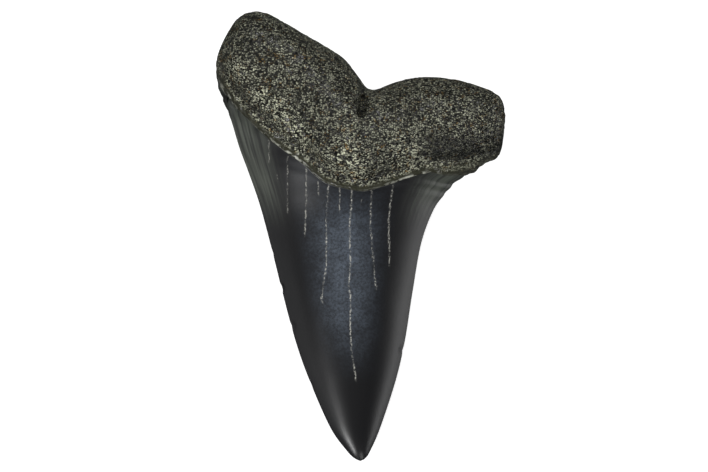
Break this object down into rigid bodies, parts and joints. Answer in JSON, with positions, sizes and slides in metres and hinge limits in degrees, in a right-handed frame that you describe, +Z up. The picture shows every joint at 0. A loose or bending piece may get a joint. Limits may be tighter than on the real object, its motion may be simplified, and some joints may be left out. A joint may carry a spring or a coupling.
{
  "type": "fossil broad-toothed mako shark tooth",
  "caption": "Fossil broad-toothed mako shark tooth: a dark triangular enamel crown on a grainy two-lobed root, lying on its flat side.",
  "frame": {"origin": "under the middle of the tooth's outline, on the surface it lies on", "axes": "+Y from the crown's tip to the root, +X across the tooth, +Z up from the lip side to the tongue side"},
  "size_m": [0.0362, 0.0562, 0.0094],
  "materials": {
    "fossil_tooth": "mineralised: glossy near-black enamel on the crown, satin dark olive-grey grainy root"
  },
  "bodies": {
    "root": {"tooth": "fossil_tooth"}
  },
  "joints": []
}
